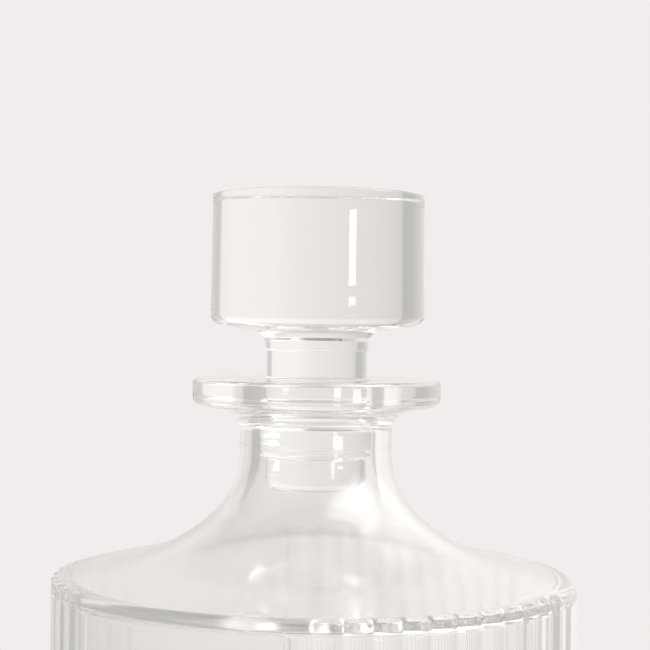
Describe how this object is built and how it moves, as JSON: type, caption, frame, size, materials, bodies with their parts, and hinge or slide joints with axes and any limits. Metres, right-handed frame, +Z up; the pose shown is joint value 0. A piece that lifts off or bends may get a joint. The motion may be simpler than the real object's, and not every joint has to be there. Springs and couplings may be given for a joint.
{
  "type": "whisky decanter",
  "caption": "Clear glass whisky decanter: round bottle with reeded fields between smooth pads, sloping shoulder and flanged neck, closed by a lift-out solid glass stopper with a clear seal.",
  "frame": {"origin": "middle of the base, on the surface that the bottle stands on", "axes": "+Z up along the bottle's axis, one of the smooth pads on the reeded wall faces -Y"},
  "size_m": [0.11, 0.11, 0.1992],
  "materials": {
    "bottle_glass": "clear pressed soda-lime glass, fire polished",
    "stopper_glass": "clear solid glass, fire polished",
    "clear_seal": "clear soft moulded seal ring"
  },
  "bodies": {
    "bottle": {"bottle": "bottle_glass"},
    "seal": {"stopper_seal": "clear_seal"},
    "stopper": {"stopper": "stopper_glass"}
  },
  "joints": [
    {"name": "stopper_lift", "type": "slide", "parent": "bottle", "child": "seal", "axis": [0, 0, 1], "range_m": [0, 0.04]},
    {"name": "stopper_turn", "type": "hinge", "parent": "seal", "child": "stopper", "pos_m": [0, 0, 0.16], "axis": [0, 0, 1], "continuous": true}
  ]
}
